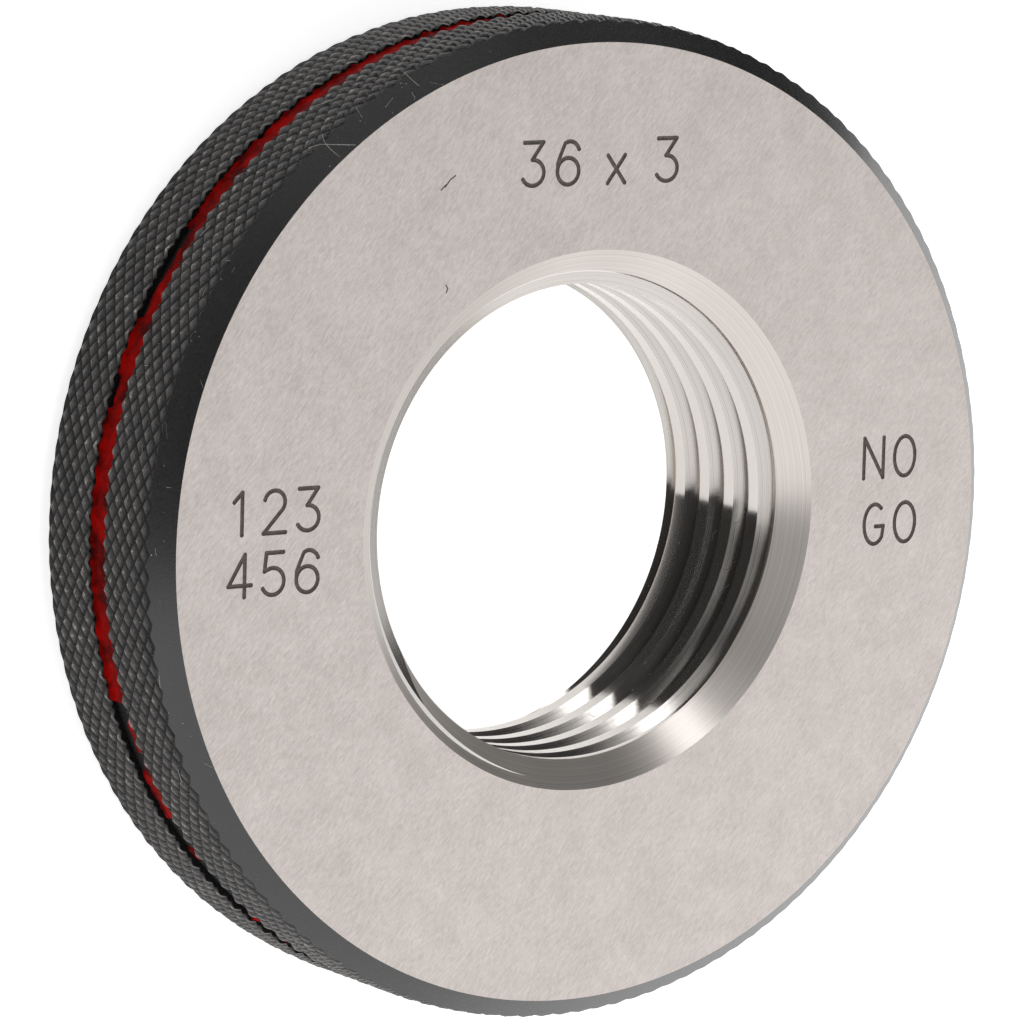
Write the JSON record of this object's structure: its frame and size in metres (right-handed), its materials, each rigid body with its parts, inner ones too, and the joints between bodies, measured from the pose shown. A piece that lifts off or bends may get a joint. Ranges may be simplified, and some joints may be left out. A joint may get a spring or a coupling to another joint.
{
  "type": "thread ring gauge",
  "caption": "Solid ring gauge with a coarse internal screw thread, countersunk bore mouths, ground faces and a knurled rim with a colour band.",
  "frame": {"origin": "on the bore's axis, in the plane of the back face that the ring lies on", "axes": "+Z along the bore towards the marked front face; the marking reads along +X with +Y towards its top"},
  "size_m": [0.071, 0.071, 0.016],
  "materials": {
    "gauge_steel": "hardened tool steel, ground on the faces, polished thread, blackened knurled rim with a red paint band"
  },
  "bodies": {
    "root": {"gauge_ring": "gauge_steel"}
  },
  "joints": []
}
